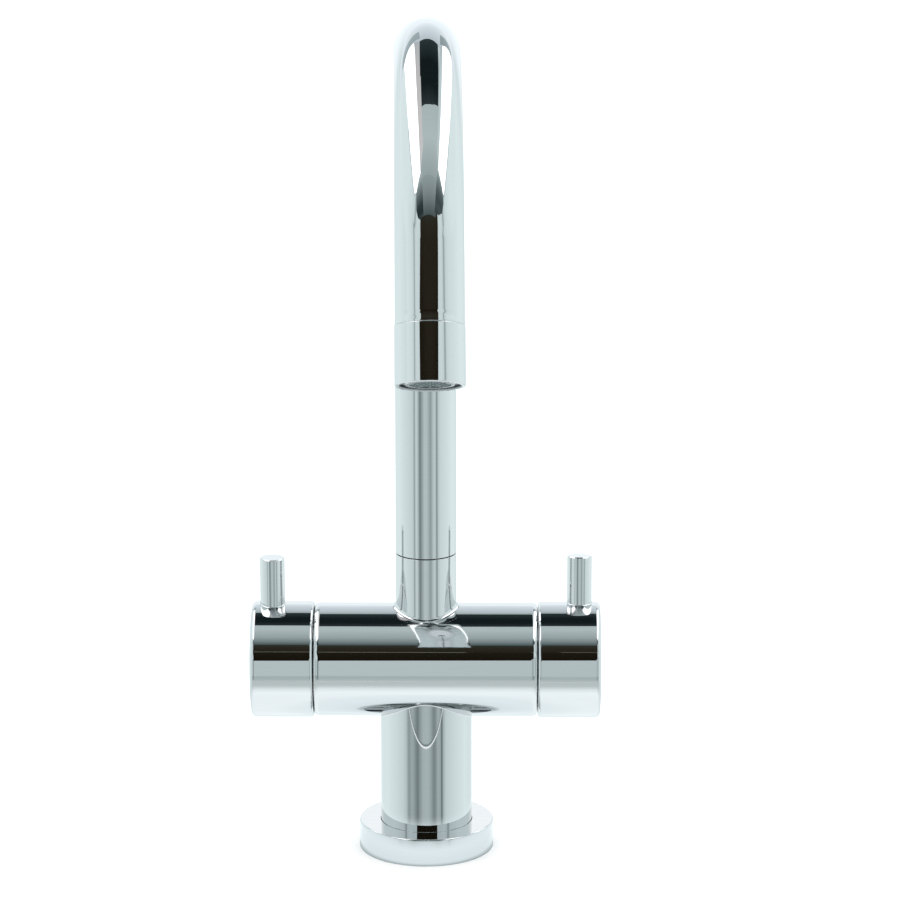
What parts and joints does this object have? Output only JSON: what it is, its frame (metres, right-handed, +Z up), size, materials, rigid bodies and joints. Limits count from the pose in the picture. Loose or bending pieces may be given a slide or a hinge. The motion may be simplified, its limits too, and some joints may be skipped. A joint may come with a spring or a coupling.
{
  "type": "two-handle kitchen tap",
  "caption": "Kitchen mixer tap: horizontal barrel on a pillar, drum handles with upright levers at its ends, and a swivelling swan-neck spout with an aerator.",
  "frame": {"origin": "centre of the pillar's foot, on the deck that the tap stands on", "axes": "+Z up along the pillar and spout riser; +X along the barrel towards the right (cold) handle as the user sees it; the spout points along -Y at rest"},
  "size_m": [0.161, 0.2602, 0.4001],
  "materials": {
    "chrome": "mirror-polished chrome plate on brass",
    "brass": "turned",
    "steel": "bright stainless",
    "rubber": "moulded",
    "acetal": "moulded",
    "ceramic": "lapped"
  },
  "bodies": {
    "tap_body": {"base_flange": "chrome", "base_seal": "rubber", "mixer_body": "chrome", "spout_slip_washer": "acetal", "spout_lock_screw": "steel", "left_fixed_disc": "ceramic", "left_seat_seal": "rubber", "left_valve_body": "brass", "left_valve_washer": "rubber", "right_fixed_disc": "ceramic", "right_seat_seal": "rubber", "right_valve_body": "brass", "right_valve_washer": "rubber"},
    "spout": {"spout_tube": "chrome", "spout_spigot": "brass", "spout_o_rings": "rubber", "nozzle": "chrome", "aerator_washer": "rubber", "aerator_housing": "steel", "aerator_honeycomb": "acetal", "aerator_mesh": "steel"},
    "left_handle": {"left_handle_drum": "chrome", "left_lever_pin": "chrome", "left_set_screw": "steel", "left_spline_bush": "acetal", "left_valve_spindle": "brass", "left_spindle_clip": "steel", "left_spindle_o_rings": "rubber", "left_thrust_washer": "acetal", "left_moving_disc": "ceramic"},
    "right_handle": {"right_handle_drum": "chrome", "right_lever_pin": "chrome", "right_set_screw": "steel", "right_spline_bush": "acetal", "right_valve_spindle": "brass", "right_spindle_clip": "steel", "right_spindle_o_rings": "rubber", "right_thrust_washer": "acetal", "right_moving_disc": "ceramic"}
  },
  "joints": [
    {"name": "spout_swivel", "type": "hinge", "parent": "tap_body", "child": "spout", "pos_m": [0, 0, 0.142], "axis": [0, 0, 1], "continuous": true},
    {"name": "left_handle_turn", "type": "hinge", "parent": "tap_body", "child": "left_handle", "pos_m": [-0.0663, 0, 0.0904], "axis": [1, 0, 0], "range_deg": [0, 90]},
    {"name": "right_handle_turn", "type": "hinge", "parent": "tap_body", "child": "right_handle", "pos_m": [0.0663, 0, 0.0904], "axis": [1, 0, 0], "range_deg": [0, 90]}
  ]
}
